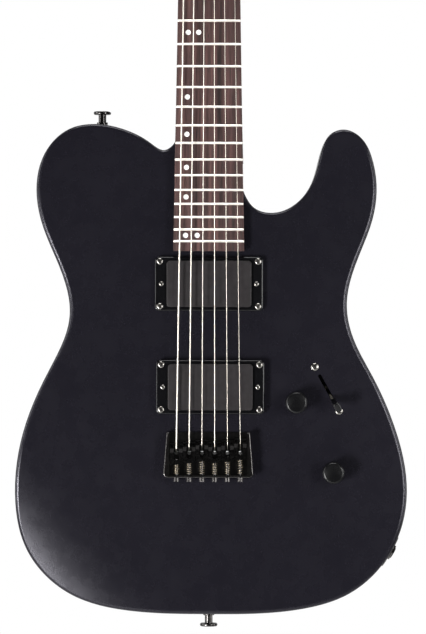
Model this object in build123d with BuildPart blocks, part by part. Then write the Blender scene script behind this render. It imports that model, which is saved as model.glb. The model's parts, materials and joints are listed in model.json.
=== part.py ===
from build123d import *
from math import cos, pi, sin, sqrt
import os

os.makedirs("parts", exist_ok=True)

# Frame: X to the treble side, Z up the neck, the front faces -Y.
# The origin is on the body's back, on the centreline, at the nominal bridge line.
# "Height" is the distance from the back plane towards the front, so y = -height.

# Scale and neck
SCALE_LENGTH = 647.7
NUT_Z = SCALE_LENGTH
FRET_COUNT = 24
BOARD_END_Z = 153.9
BOARD_RADIUS = 350.0
BOARD_TOP = 52.5
NECK_TOP = 46.5
NUT_WIDTH = 41.5
BOARD_TAPER = 0.0340
FRET_HEIGHT = 1.2
FRET_WIDTH = 2.0
DOT_RADIUS = 2.1
NUT_THICKNESS = 4.6
# station, depth and squareness of the shaft's section
SHAFT_STATIONS = ((226, 16.6, 3.4), (262, 16.2, 2.5), (450, 15.2, 2.3), (650, 14.0, 2.2))
HEEL_TOP_Z = 242.0
ROD_CHANNEL_FLOOR = 36.5
ROD_AXIS_HEIGHT = 39.9
SIDE_DOT_HEIGHT = 49.4
SIDE_DOT_RADIUS = 1.0

# Body
BODY_T = 44.5
MID_HEIGHT = BODY_T / 2
EDGE_RADIUS = 3.2
ARM_RADIUS = 210.0
POCKET_GAP = 0.15
POCKET_FLOOR = 28.5
TOP_SKIN_UNDERSIDE = 37.5
COVER_T = 2.2

# The edge of the body, from the bass side of the neck round to the treble side
BODY_OUTLINE = (
    (-26.6, 249.0), (-30.2, 241.0), (-36.2, 237.4), (-48.0, 243.2), (-63.5, 252.0), (-92.4, 258.7),
    (-115.2, 254.5), (-135.0, 235.0), (-142.1, 205.0), (-137.3, 175.8), (-123.6, 142.2), (-114.5, 101.0),
    (-134.0, 50.7), (-152.3, 5.8), (-159.3, -51.7), (-149.7, -93.2), (-114.1, -129.3), (-66.9, -142.5),
    (0, -145.3), (82.5, -140.0), (114.3, -129.4), (140.9, -107.8), (158.0, -77.9), (163.8, -44.7),
    (154.6, 6.4), (135.0, 51.7), (119.7, 81.6), (114.0, 109.0), (124.0, 150.5), (134.8, 179.5),
    (138.4, 206.5), (135.1, 229.2), (126.0, 247.3), (110.7, 254.6), (100.2, 250.6), (92.9, 237.1),
    (86.0, 212.7), (71.2, 192.8), (51.2, 185.8), (36.7, 190.6), (30.2, 199.9), (27.2, 207.5),
)

# Strings, low E first
STRING_RADII = (0.58, 0.46, 0.33, 0.22, 0.17, 0.13)
NUT_SPREAD = 34.0
BRIDGE_SPACING = 10.5
CREST_HEIGHT = 57.0
STRING_HOLE_Z = -12.0
STRING_GAP = 0.12
NUT_ACTION = 1.5
BEND_SWELL = 1.1
TREE_GAP = 0.35

# Bridge
BRIDGE_FRONT_Z = 4.8
BRIDGE_REAR_Z = -32.3
BRIDGE_BASE = 46.5
BRIDGE_WALL_TOP = 54.6
BRIDGE_WALL_T = 2.2
BRIDGE_INNER_HALF = 32.0
SADDLE_FRONTS = (-4.4, -3.1, -1.6, -3.1, -1.9, -0.3)
SADDLE_WIDTH = 10.2
SADDLE_LENGTH = 17.0
SADDLE_BOTTOM = 49.0
CREST_OFFSET = 3.2
SCREW_LINE = 52.0

# Pickups
PICKUP_CENTRES = ((0.3, 126.9), (1.5, 42.0))
PICKUP_SIZE = (69.8, 38.1)
RING_SIZE = (88.9, 44.5)
RING_TOPS = (49.0, 51.0)
PICKUP_TOPS = (51.4, 53.4)
RING_SCREW_SPACING = (80.8, 36.9)
RING_SCREW_HEAD = 2.6
HEIGHT_SCREW_SPACING = 78.1
PICKUP_FLOOR = 24.5
EAR_HEIGHT = 30.0

# Controls
VOLUME_XZ = (72.3, 29.5)
TONE_XZ = (102.8, -28.1)
KNOB_RADIUS = 8.9
KNOB_TOP = 60.5
SHAFT_RADIUS = 3.0
RUNNING_GAP = 0.06
SELECTOR_XZ = (97.6, 40.6)
SELECTOR_DIR = Vector(0.485, 0, -0.8745)
SELECTOR_SCREW_SPACING = 41.3
SELECTOR_PIVOT = 26.0
SELECTOR_LEAN = 25.0
SELECTOR_SLOT = (27.0, 2.8)
SWITCH_FLOOR = 18.5
SWITCH_PLATE_T = 1.4
POT_FLOOR = 27.5
SHAFT_FOOT = 30.0
JACK_XZ = (151.3, -94.6)
JACK_DIR = Vector(0.869, 0, -0.495)
JACK_SEAT = 1.8
UPPER_STRAP_SEAT = (-88.4, 258.8)
LOWER_STRAP_SEAT = (0.6, -145.5)

# Headstock and tuners
HEAD_BACK = 30.5
HEAD_FACE = 44.0
FIRST_POST = (-20.2, 686.0)
POST_STEP = (6.8, 25.0)
POST_RADIUS = 3.0
WRAP_HEIGHT = 49.6
WORM_OFFSET = 6.2
WORM_DROP = 4.5
GEAR_TEETH = 18
HEAD_OUTLINE_TIP = ((5.5, 829.0), (12.0, 837.0), (24.0, 837.5), (30.5, 829.0))
COVER_HOLES = ((-6.5, 669), (6.5, 669), (0, 695))
TREE_XZ = (13.2, 712)
TREE_HEIGHT = 48.4

# Where primitives stand on their plane
STANDING = (Align.CENTER, Align.CENTER, Align.MIN)
HANGING = (Align.CENTER, Align.CENTER, Align.MAX)


def at_height(height):
    """Plane parallel to the face of the body, at a height above its back."""
    return Plane.XZ.offset(height)


def board_half(z):
    """Half width of the fretboard at a station along the neck."""
    return (NUT_WIDTH + BOARD_TAPER * (NUT_Z - z)) / 2


def fret_z(number):
    """Station of a fret, by the twelfth root of two."""
    return NUT_Z - SCALE_LENGTH * (1 - 2 ** (-number / 12))


def crown_drop(x, radius=BOARD_RADIUS):
    """How far the cambered playing surface falls at a distance from the centreline."""
    return radius - sqrt(radius ** 2 - x ** 2)


def nut_x(index):
    """Position of a string at the nut."""
    return -NUT_SPREAD / 2 + index * NUT_SPREAD / 5


def bridge_x(index):
    """Position of a string at the bridge."""
    return (index - 2.5) * BRIDGE_SPACING


def post_xz(index):
    """Axis of a tuner post in the plane of the headstock."""
    return (FIRST_POST[0] + index * POST_STEP[0], FIRST_POST[1] + index * POST_STEP[1])


def spaced(point, height):
    """Point at a plan position and a height."""
    return Vector(point[0], -height, point[1])


def arm_point(reach):
    """Point of the forearm contour at a distance from its seam with the face."""
    return (reach, -BODY_T + crown_drop(reach, ARM_RADIUS))


def saddle_crest(index):
    """Height of the top of a saddle under its string."""
    return CREST_HEIGHT - crown_drop(bridge_x(index))


def board_corners(low_z, high_z, gap=0.0):
    """Corners of the tapered outline of the neck between two stations."""
    low_half = board_half(low_z) + gap
    high_half = board_half(high_z) + gap
    return ((-low_half, low_z), (low_half, low_z), (high_half, high_z), (-high_half, high_z))


ARM_PLANE = Plane(origin=(-93.5, 0, -71.5), x_dir=(-0.748, 0, -0.664), z_dir=(0.664, 0, -0.748))
POST_DIR = Vector(POST_STEP[0], 0, POST_STEP[1]).normalized()
BUTTON_DIR = Vector(-POST_DIR.Z, 0, POST_DIR.X)
TUNER_PLANES = [
    Plane(origin=spaced(post_xz(i), HEAD_BACK), x_dir=BUTTON_DIR, z_dir=(0, -1, 0)) for i in range(6)
]
SELECTOR_PLANE = Plane(origin=spaced(SELECTOR_XZ, 0), x_dir=SELECTOR_DIR, z_dir=(0, -1, 0))
LEVER_TILT = SELECTOR_LEAN * pi / 180
LEVER_DIR = SELECTOR_DIR * sin(LEVER_TILT) + Vector(0, -1, 0) * cos(LEVER_TILT)
LEVER_PLANE = Plane(
    origin=spaced(SELECTOR_XZ, SELECTOR_PIVOT), x_dir=LEVER_DIR, z_dir=SELECTOR_PLANE.y_dir
)
JACK_PLANE = Plane(origin=spaced(JACK_XZ, MID_HEIGHT), x_dir=(0, 1, 0), z_dir=JACK_DIR)
CAVITY_CORNERS = (
    (56, 40), (82, 70), (106, 66), (124, 30), (130, -40), (112, -72), (92, -68), (80, -34), (60, 4),
)
COVER_SCREWS = ((66.4, 57.3), (118.1, 49.6), (124.1, -57.7), (82.7, -52.2), (54.5, 21.6))
NECK_SCREWS = ((-18, 166), (18, 166), (-18, 198), (18, 198))
BRIDGE_SCREWS = ((-21, -26), (0, -26), (21, -26), (-10.5, -6), (10.5, -6))
DOT_FRETS = (3, 5, 7, 9, 15, 17, 19, 21)
DOUBLE_DOT_FRETS = (12, 24)
POT_PLACES = (VOLUME_XZ, TONE_XZ)
STRING_HOLES = [(bridge_x(i), STRING_HOLE_Z) for i in range(6)]
STRAP_BUTTON_PLANES = (
    Plane(origin=spaced(UPPER_STRAP_SEAT, MID_HEIGHT), z_dir=(0, 0, 1)),
    Plane(origin=spaced(LOWER_STRAP_SEAT, MID_HEIGHT), z_dir=(0, 0, -1)),
)


def worm_plane(plane, along):
    """Plane across a tuner's worm shaft, at a distance along it from the post."""
    return Plane(origin=plane.from_local_coords((along, WORM_OFFSET, -WORM_DROP)), z_dir=BUTTON_DIR)


def string_x(index, z):
    """Position of a string at a station between bridge and nut."""
    share = z / SCALE_LENGTH
    return bridge_x(index) * (1 - share) + nut_x(index) * share


def dot_places():
    """Plan positions of the fret markers, halfway between frets under the bass strings."""
    places = []
    for number in DOT_FRETS + DOUBLE_DOT_FRETS:
        z = (fret_z(number) + fret_z(number - 1)) / 2
        places.append(((string_x(0, z) + string_x(1, z)) / 2, z))
        if number in DOUBLE_DOT_FRETS:
            places.append(((string_x(1, z) + string_x(2, z)) / 2, z))
    return places


def rod(start, end, radius):
    """Round bar between two points, added to the open part."""
    span = Vector(end) - Vector(start)
    with Locations(Plane(origin=start, z_dir=span)):
        Cylinder(radius, span.length, align=STANDING)


def cross_recess(length, width, depth):
    """Cross-shaped driver recess at each open location."""
    Box(length, width, depth, mode=Mode.SUBTRACT)
    Box(width, length, depth, mode=Mode.SUBTRACT)


def coil(start, direction, length, radius, wire, turns):
    """Compression spring, added to the open part."""
    with BuildLine() as path:
        Helix(pitch=length / turns, height=length, radius=radius, center=start, direction=direction)
    with BuildSketch(Plane(origin=path.line @ 0, z_dir=path.line % 0)) as section:
        Circle(wire)
    sweep(sections=section.sketch, path=path.line, is_frenet=True)


# ---------------------------------------------------------------- body
with BuildPart() as body:
    with BuildSketch(Plane.XZ):
        with BuildLine():
            edge = Spline(*BODY_OUTLINE)
            Line(edge @ 1, edge @ 0)
        make_face()
    extrude(amount=BODY_T)
    # forearm contour, a cylinder tangent to the face that falls away to the lower bass edge
    with BuildSketch(ARM_PLANE):
        with BuildLine():
            ThreePointArc(arm_point(0), arm_point(45), arm_point(90))
            Polyline(arm_point(90), (90, -60), (0, -60), arm_point(0))
        make_face()
    extrude(amount=180, both=True, mode=Mode.SUBTRACT)
    # rounded rim, all but the seam between the contour and the face
    front = faces().filter_by(lambda f: f.normal_at().Y < -0.5)
    rim = edges().filter_by(lambda e: abs(e.center().Y) < 0.01)
    for face in front:
        rim += face.edges().filter_by(lambda e: e.geom_type != GeomType.LINE or e.center().Z > 100)
    fillet(rim, radius=EDGE_RADIUS)
    # neck pocket
    with BuildSketch(at_height(POCKET_FLOOR)):
        Polygon(*board_corners(BOARD_END_Z, 260, POCKET_GAP), align=None)
    extrude(amount=BODY_T, mode=Mode.SUBTRACT)
    # pickup cavities with side lobes for the height screws
    with BuildSketch(at_height(PICKUP_FLOOR)):
        with Locations(*PICKUP_CENTRES):
            RectangleRounded(72.6, 41.0, 4)
            RectangleRounded(86.0, 15.0, 3)
    extrude(amount=BODY_T, mode=Mode.SUBTRACT)
    # wiring channels from the neck cavity to the bridge cavity and on to the controls
    with Locations(Plane(origin=(18, -30, 110), z_dir=(0, 0, -1))):
        Cylinder(4, 54, align=STANDING, mode=Mode.SUBTRACT)
    with Locations(Plane(origin=(34, -30, 42), z_dir=(32, 0, -6))):
        Cylinder(4, 33, align=STANDING, mode=Mode.SUBTRACT)
    # control cavity and the ledge for its cover
    with BuildSketch(Plane.XZ):
        Polygon(*CAVITY_CORNERS, align=None)
        fillet(vertices(), 8)
    extrude(amount=TOP_SKIN_UNDERSIDE, mode=Mode.SUBTRACT)
    with BuildSketch(Plane.XZ):
        Polygon(*CAVITY_CORNERS, align=None)
        fillet(vertices(), 8)
        offset(amount=7)
    extrude(amount=COVER_T, mode=Mode.SUBTRACT)
    with BuildSketch(at_height(COVER_T)):
        with Locations(*COVER_SCREWS):
            Circle(1.3)
    extrude(amount=9, mode=Mode.SUBTRACT)
    # potentiometer bushings and the selector slot
    with BuildSketch(at_height(TOP_SKIN_UNDERSIDE - 1)):
        with Locations(*POT_PLACES):
            Circle(4.75)
    extrude(amount=BODY_T, mode=Mode.SUBTRACT)
    with BuildSketch(SELECTOR_PLANE.offset(TOP_SKIN_UNDERSIDE - 1)):
        SlotOverall(*SELECTOR_SLOT)
        with GridLocations(SELECTOR_SCREW_SPACING, 0, 2, 1):
            Circle(1.6)
    extrude(amount=BODY_T, mode=Mode.SUBTRACT)
    # string holes, countersunk at the back for the ferrules
    with BuildSketch(Plane.XZ):
        with Locations(*STRING_HOLES):
            Circle(1.8)
    extrude(amount=BODY_T, mode=Mode.SUBTRACT)
    with BuildSketch(Plane.XZ):
        with Locations(*STRING_HOLES):
            Circle(3.8)
    extrude(amount=9, mode=Mode.SUBTRACT)
    with BuildSketch(Plane.XZ):
        with Locations(*STRING_HOLES):
            Circle(4.7)
    extrude(amount=1.2, mode=Mode.SUBTRACT)
    # neck screw holes with recesses for the ferrules
    with BuildSketch(Plane.XZ):
        with Locations(*NECK_SCREWS):
            Circle(2.6)
    extrude(amount=POCKET_FLOOR + 1, mode=Mode.SUBTRACT)
    with BuildSketch(Plane.XZ):
        with Locations(*NECK_SCREWS):
            Circle(7.2)
    extrude(amount=4.5, mode=Mode.SUBTRACT)
    # bridge and pickup ring screws
    with BuildSketch(at_height(BODY_T)):
        with Locations(*BRIDGE_SCREWS):
            Circle(1.6)
    extrude(amount=-22, mode=Mode.SUBTRACT)
    with BuildSketch(at_height(BODY_T)):
        with Locations(*PICKUP_CENTRES):
            with GridLocations(*RING_SCREW_SPACING, 2, 2):
                Circle(1.1)
    extrude(amount=-12, mode=Mode.SUBTRACT)
    # output jack bore with a spot face for its plate
    with Locations(JACK_PLANE):
        Cylinder(11.2, 60, align=HANGING, mode=Mode.SUBTRACT)
    with Locations(JACK_PLANE.offset(-JACK_SEAT)):
        Cylinder(14.6, 12, align=STANDING, mode=Mode.SUBTRACT)
    # strap button screws
    for plane in STRAP_BUTTON_PLANES:
        with Locations(plane.offset(3)):
            Cylinder(1.7, 33, align=HANGING, mode=Mode.SUBTRACT)
body.part.label = "body"
export_step(body.part, "parts/body.step")

# ---------------------------------------------------------------- neck
with BuildPart() as neck:
    # shaft, a rounded D that squares up towards the heel
    for station, depth, squareness in SHAFT_STATIONS:
        half = board_half(station)
        with BuildSketch(Plane.XY.offset(station)):
            with BuildLine():
                rim_points = []
                for step in range(9):
                    angle = pi * step / 8
                    across = abs(cos(angle)) ** (2 / squareness) * half
                    down = sin(angle) ** (2 / squareness) * depth if 0 < step < 8 else 0
                    rim_points.append((across if step < 4 else -across, down - NECK_TOP))
                Spline(*rim_points)
                Line(rim_points[-1], rim_points[0])
            make_face()
    loft()
    # heel block
    with BuildSketch(at_height(POCKET_FLOOR)):
        Polygon(*board_corners(BOARD_END_Z, HEEL_TOP_Z), align=None)
    extrude(amount=NECK_TOP - POCKET_FLOOR)
    # headstock
    with BuildSketch(at_height(HEAD_BACK)):
        with BuildLine():
            Line((-20.9, 644), (-20.9, 655))
            Spline((-20.9, 655), (-25.5, 668), (-32.3, 689.3), tangents=[(0, 1), (0.2625, 0.965)])
            Line((-32.3, 689.3), HEAD_OUTLINE_TIP[0])
            Spline(*HEAD_OUTLINE_TIP, tangents=[(0.2625, 0.965), (0, -1)])
            Line(HEAD_OUTLINE_TIP[-1], (30.5, 700))
            Spline((30.5, 700), (26.5, 672), (20.9, 655), tangents=[(0, -1), (0, -1)])
            Line((20.9, 655), (20.9, 644))
            Line((20.9, 644), (-20.9, 644))
        make_face()
    extrude(amount=HEAD_FACE - HEAD_BACK)
    # ramp from the nut shelf down to the headstock face
    with BuildSketch(Plane.YZ.offset(-20.9)):
        with BuildLine():
            Polyline((-40, 648), (-NECK_TOP, 648), (-NECK_TOP, 652.6))
            Spline((-NECK_TOP, 652.6), (-HEAD_FACE, 662), tangents=[(1, 0.8), (0, 1)])
            Polyline((-HEAD_FACE, 662), (-40, 662), (-40, 648))
        make_face()
    extrude(amount=41.8)
    # truss rod channel, open to the headstock face only under its cover
    with BuildSketch(at_height(ROD_CHANNEL_FLOOR)):
        with Locations((0, 430)):
            Rectangle(6.4, 520)
    extrude(amount=7.0, mode=Mode.SUBTRACT)
    with BuildSketch(at_height(ROD_CHANNEL_FLOOR)):
        with Locations((0, 417.5)):
            Rectangle(6.4, 455)
    extrude(amount=12, mode=Mode.SUBTRACT)
    with BuildSketch(at_height(ROD_CHANNEL_FLOOR)):
        with Locations((0, 678)):
            Rectangle(6.4, 24)
    extrude(amount=12, mode=Mode.SUBTRACT)
    # tuner holes
    with BuildSketch(*TUNER_PLANES):
        Circle(4.95)
    extrude(amount=30, both=True, mode=Mode.SUBTRACT)
    # pilot holes for the neck screws, the truss rod cover and the string tree
    with BuildSketch(at_height(POCKET_FLOOR)):
        with Locations(*NECK_SCREWS):
            Circle(2.1)
    extrude(amount=13, mode=Mode.SUBTRACT)
    with BuildSketch(at_height(HEAD_FACE)):
        with Locations(*COVER_HOLES, TREE_XZ):
            Circle(0.9)
    extrude(amount=-8, mode=Mode.SUBTRACT)
neck.part.label = "neck"
export_step(neck.part, "parts/neck.step")

with BuildPart() as fretboard:
    with BuildSketch(at_height(NECK_TOP)):
        Polygon(*board_corners(BOARD_END_Z, NUT_Z), align=None)
    extrude(amount=BOARD_TOP - NECK_TOP)
    with Locations((0, BOARD_RADIUS - BOARD_TOP, 400)):
        Cylinder(BOARD_RADIUS, 600, mode=Mode.INTERSECT)
    # fret slots
    for number in range(1, FRET_COUNT + 1):
        with Locations((0, -BOARD_TOP, fret_z(number))):
            Box(70, 4.4, 0.6, mode=Mode.SUBTRACT)
    # pockets for the face dots and the side dots
    with BuildSketch(at_height(BOARD_TOP - 2.2)):
        with Locations(*dot_places()):
            Circle(DOT_RADIUS)
    extrude(amount=5, mode=Mode.SUBTRACT)
    with BuildSketch(Plane.YZ.offset(-19.5)):
        with Locations(*[(-SIDE_DOT_HEIGHT, z) for x, z in dot_places()]):
            Circle(SIDE_DOT_RADIUS)
    extrude(amount=-12, mode=Mode.SUBTRACT)
fretboard.part.label = "fretboard"
export_step(fretboard.part, "parts/fretboard.step")

with BuildPart() as fret_markers:
    with BuildSketch(at_height(BOARD_TOP - 2.2)):
        with Locations(*dot_places()):
            Circle(DOT_RADIUS)
    extrude(amount=3)
    with Locations((0, BOARD_RADIUS - BOARD_TOP, 400)):
        Cylinder(BOARD_RADIUS, 600, mode=Mode.INTERSECT)
    for x, z in dot_places():
        with BuildSketch(Plane(origin=(-board_half(z) + 0.02, -SIDE_DOT_HEIGHT, z), z_dir=(1, 0, 0))):
            Circle(SIDE_DOT_RADIUS)
        extrude(amount=board_half(z) - 19.6)
fret_markers.part.label = "fret_markers"
export_step(fret_markers.part, "parts/fret_markers.step")

with BuildPart() as frets:
    for number in range(1, FRET_COUNT + 1):
        z = fret_z(number)
        half = board_half(z)
        low = -BOARD_TOP + crown_drop(half)
        with BuildSketch(Plane.XY.offset(z - FRET_WIDTH / 2)):
            with BuildLine():
                ThreePointArc((-half, low), (0, -BOARD_TOP), (half, low))
                Line((half, low), (half - 0.8, low - FRET_HEIGHT + 0.02))
                ThreePointArc(
                    (half - 0.8, low - FRET_HEIGHT + 0.02), (0, -BOARD_TOP - FRET_HEIGHT),
                    (-half + 0.8, low - FRET_HEIGHT + 0.02),
                )
                Line((-half + 0.8, low - FRET_HEIGHT + 0.02), (-half, low))
            make_face()
        extrude(amount=FRET_WIDTH)
    chamfer(edges().filter_by(lambda e: e.length > 35 and e.center().Y < -BOARD_TOP - 0.5), 0.6)
    for number in range(1, FRET_COUNT + 1):
        z = fret_z(number)
        half = board_half(z) - 0.4
        low = -BOARD_TOP + crown_drop(half)
        with BuildSketch(Plane.XY.offset(z - 0.3)):
            with BuildLine():
                ThreePointArc((-half, low - 0.3), (0, -BOARD_TOP - 0.3), (half, low - 0.3))
                Polyline(
                    (half, low - 0.3), (half, 2.2 - BOARD_TOP), (-half, 2.2 - BOARD_TOP), (-half, low - 0.3)
                )
            make_face()
        extrude(amount=0.6)
frets.part.label = "frets"
export_step(frets.part, "parts/frets.step")

with BuildPart() as nut:
    with BuildSketch(at_height(NECK_TOP)):
        with Locations((0, NUT_Z + NUT_THICKNESS / 2)):
            Rectangle(NUT_WIDTH, NUT_THICKNESS)
    extrude(amount=8.2)
    with Locations((0, BOARD_RADIUS - BOARD_TOP, NUT_Z)):
        Cylinder(BOARD_RADIUS + 2.0, 40, mode=Mode.INTERSECT)
    for i in range(6):
        bottom = BOARD_TOP - crown_drop(nut_x(i)) + NUT_ACTION - STRING_GAP
        with BuildSketch(at_height(bottom)):
            with Locations((nut_x(i), NUT_Z + NUT_THICKNESS / 2)):
                Rectangle(2 * BEND_SWELL * STRING_RADII[i] + STRING_GAP, NUT_THICKNESS + 2)
        extrude(amount=5, mode=Mode.SUBTRACT)
nut.part.label = "nut"
export_step(nut.part, "parts/nut.step")

with BuildPart() as truss_rod:
    with BuildSketch(at_height(ROD_CHANNEL_FLOOR)):
        with Locations((0, 417.5)):
            Rectangle(6.2, 455)
    extrude(amount=8.5)
    with Locations(Plane(origin=(0, -ROD_AXIS_HEIGHT, 645), z_dir=(0, 0, 1))):
        Cylinder(2.0, 24, align=STANDING)
    with Locations(Plane(origin=(0, -ROD_AXIS_HEIGHT, 668), z_dir=(0, 0, 1))):
        Cylinder(3.1, 12, align=STANDING)
    with BuildSketch(Plane(origin=(0, -ROD_AXIS_HEIGHT, 680), z_dir=(0, 0, -1))):
        RegularPolygon(2.3, 6)
    extrude(amount=6, mode=Mode.SUBTRACT)
truss_rod.part.label = "truss_rod"
export_step(truss_rod.part, "parts/truss_rod.step")

with BuildPart() as truss_rod_cover:
    with BuildSketch(at_height(HEAD_FACE)):
        with BuildLine():
            Line((-9.5, 663.5), (9.5, 663.5))
            Line((9.5, 663.5), (9.5, 674))
            ThreePointArc((9.5, 674), (4.5, 687), (4, 699))
            ThreePointArc((4, 699), (0, 701), (-4, 699))
            ThreePointArc((-4, 699), (-4.5, 687), (-9.5, 674))
            Line((-9.5, 674), (-9.5, 663.5))
        make_face()
        with Locations(*COVER_HOLES):
            Circle(1.1, mode=Mode.SUBTRACT)
    extrude(amount=1.6)
    chamfer(edges().group_by(Axis.Y)[0].filter_by(GeomType.CIRCLE, reverse=True), 0.4)
truss_rod_cover.part.label = "truss_rod_cover"
export_step(truss_rod_cover.part, "parts/truss_rod_cover.step")

with BuildPart() as neck_ferrules:
    with BuildSketch(at_height(0.3)):
        with Locations(*NECK_SCREWS):
            Circle(7.2)
            Circle(2.6, mode=Mode.SUBTRACT)
    extrude(amount=4.2)
    with Locations(*[Plane(origin=(x, -0.3, z), z_dir=(0, -1, 0)) for x, z in NECK_SCREWS]):
        Cone(4.9, 2.6, 2.5, align=STANDING, mode=Mode.SUBTRACT)
neck_ferrules.part.label = "neck_ferrules"
export_step(neck_ferrules.part, "parts/neck_ferrules.step")

with BuildPart() as neck_screws:
    with Locations(*[Plane(origin=(x, -0.4, z), z_dir=(0, -1, 0)) for x, z in NECK_SCREWS]):
        Cone(4.7, 2.3, 2.4, align=STANDING)
        Cylinder(2.1, 40.5, align=STANDING)
        cross_recess(5.2, 0.9, 2.6)
neck_screws.part.label = "neck_screws"
export_step(neck_screws.part, "parts/neck_screws.step")

# ---------------------------------------------------------------- strings
with BuildPart() as strings:
    for i, radius in enumerate(STRING_RADII):
        x = bridge_x(i)
        bend_z = SADDLE_FRONTS[i] - CREST_OFFSET - 0.5
        nut_height = BOARD_TOP - crown_drop(nut_x(i)) + NUT_ACTION + radius
        wrap = POST_RADIUS + STRING_GAP + radius
        post = post_xz(i)
        path = [
            (x, -4.6, STRING_HOLE_Z),
            (x, -BRIDGE_BASE, STRING_HOLE_Z),
            (x, -saddle_crest(i) - STRING_GAP - radius, bend_z),
            (nut_x(i), -nut_height, NUT_Z),
            (nut_x(i), -nut_height, NUT_Z + NUT_THICKNESS),
        ]
        if i > 3:
            tree_x = nut_x(i) * 0.4 + (post[0] + wrap) * 0.6
            path.append((tree_x, radius + TREE_GAP - TREE_HEIGHT, TREE_XZ[1]))
        path.append((post[0] + wrap, -WRAP_HEIGHT, post[1]))
        for start, end in zip(path, path[1:]):
            rod(start, end, radius)
        with Locations(*path[1:]):
            Sphere(radius * BEND_SWELL)
        with Locations((x, -4.0, STRING_HOLE_Z)):
            Cylinder(1.9, 3.2, rotation=(0, 90, 0))
        for turn in (1, 2):
            height = WRAP_HEIGHT - 2.15 * turn * radius
            with Locations(Plane(origin=spaced(post, height), z_dir=(0, -1, 0))):
                Torus(wrap, radius)
strings.part.label = "strings"
export_step(strings.part, "parts/strings.step")

with BuildPart() as string_tree:
    with BuildSketch(at_height(TREE_HEIGHT)):
        with Locations(TREE_XZ):
            SlotOverall(13.5, 4.4)
    extrude(amount=1.3)
    with BuildSketch(at_height(HEAD_FACE)):
        with Locations(TREE_XZ):
            Circle(1.6)
    extrude(amount=TREE_HEIGHT - HEAD_FACE)
    with Locations(Plane(origin=spaced(TREE_XZ, TREE_HEIGHT + 1.3), z_dir=(0, -1, 0))):
        Cylinder(1.8, 0.8, align=STANDING)
    with Locations(Plane(origin=spaced(TREE_XZ, HEAD_FACE), z_dir=(0, 1, 0))):
        Cylinder(0.9, 7.5, align=STANDING)
string_tree.part.label = "string_tree"
export_step(string_tree.part, "parts/string_tree.step")

with BuildPart() as string_ferrules:
    with BuildSketch(Plane.XZ):
        with Locations(*STRING_HOLES):
            Circle(4.7)
    extrude(amount=1.2)
    with BuildSketch(Plane.XZ):
        with Locations(*STRING_HOLES):
            Circle(3.8)
    extrude(amount=9)
    with BuildSketch(Plane.XZ):
        with Locations(*STRING_HOLES):
            Circle(2.5)
    extrude(amount=6.0, mode=Mode.SUBTRACT)
    with BuildSketch(Plane.XZ):
        with Locations(*STRING_HOLES):
            Circle(1.0)
    extrude(amount=10, mode=Mode.SUBTRACT)
string_ferrules.part.label = "string_ferrules"
export_step(string_ferrules.part, "parts/string_ferrules.step")

# ---------------------------------------------------------------- bridge
with BuildPart() as bridge_plate:
    with BuildSketch(at_height(BODY_T)):
        Polygon(
            (-34.2, BRIDGE_FRONT_Z), (34.2, BRIDGE_FRONT_Z), (37.2, BRIDGE_REAR_Z), (-37.2, BRIDGE_REAR_Z),
            align=None,
        )
        fillet(vertices().group_by(Axis.Y)[0], 3.5)
    extrude(amount=BRIDGE_WALL_TOP - BODY_T)
    fillet(edges().group_by(Axis.Y)[0], 0.9)
    with BuildSketch(at_height(BRIDGE_BASE)):
        with Locations((0, BRIDGE_REAR_Z + BRIDGE_WALL_T)):
            Rectangle(2 * BRIDGE_INNER_HALF, 60, align=(Align.CENTER, Align.MIN))
    extrude(amount=20, mode=Mode.SUBTRACT)
    with BuildSketch(at_height(BODY_T)):
        with Locations(*STRING_HOLES):
            Circle(1.5)
        with Locations(*BRIDGE_SCREWS):
            Circle(1.6)
    extrude(amount=5, mode=Mode.SUBTRACT)
    with Locations(*[Plane(origin=(x, -BRIDGE_BASE, z), z_dir=(0, 1, 0)) for x, z in BRIDGE_SCREWS]):
        Cone(3.1, 1.6, 1.4, align=STANDING, mode=Mode.SUBTRACT)
    with BuildSketch(Plane.XY.offset(BRIDGE_REAR_Z)):
        with Locations(*[(bridge_x(i), -SCREW_LINE) for i in range(6)]):
            Circle(1.4)
    extrude(amount=BRIDGE_WALL_T, both=True, mode=Mode.SUBTRACT)
bridge_plate.part.label = "bridge_plate"
export_step(bridge_plate.part, "parts/bridge_plate.step")

with BuildPart() as bridge_screws:
    with Locations(*[Plane(origin=(x, -BRIDGE_BASE, z), z_dir=(0, 1, 0)) for x, z in BRIDGE_SCREWS]):
        Cone(3.1, 1.6, 1.4, align=STANDING)
        Cylinder(1.6, 23, align=STANDING)
        cross_recess(3.4, 0.7, 1.6)
bridge_screws.part.label = "bridge_screws"
export_step(bridge_screws.part, "parts/bridge_screws.step")


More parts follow.
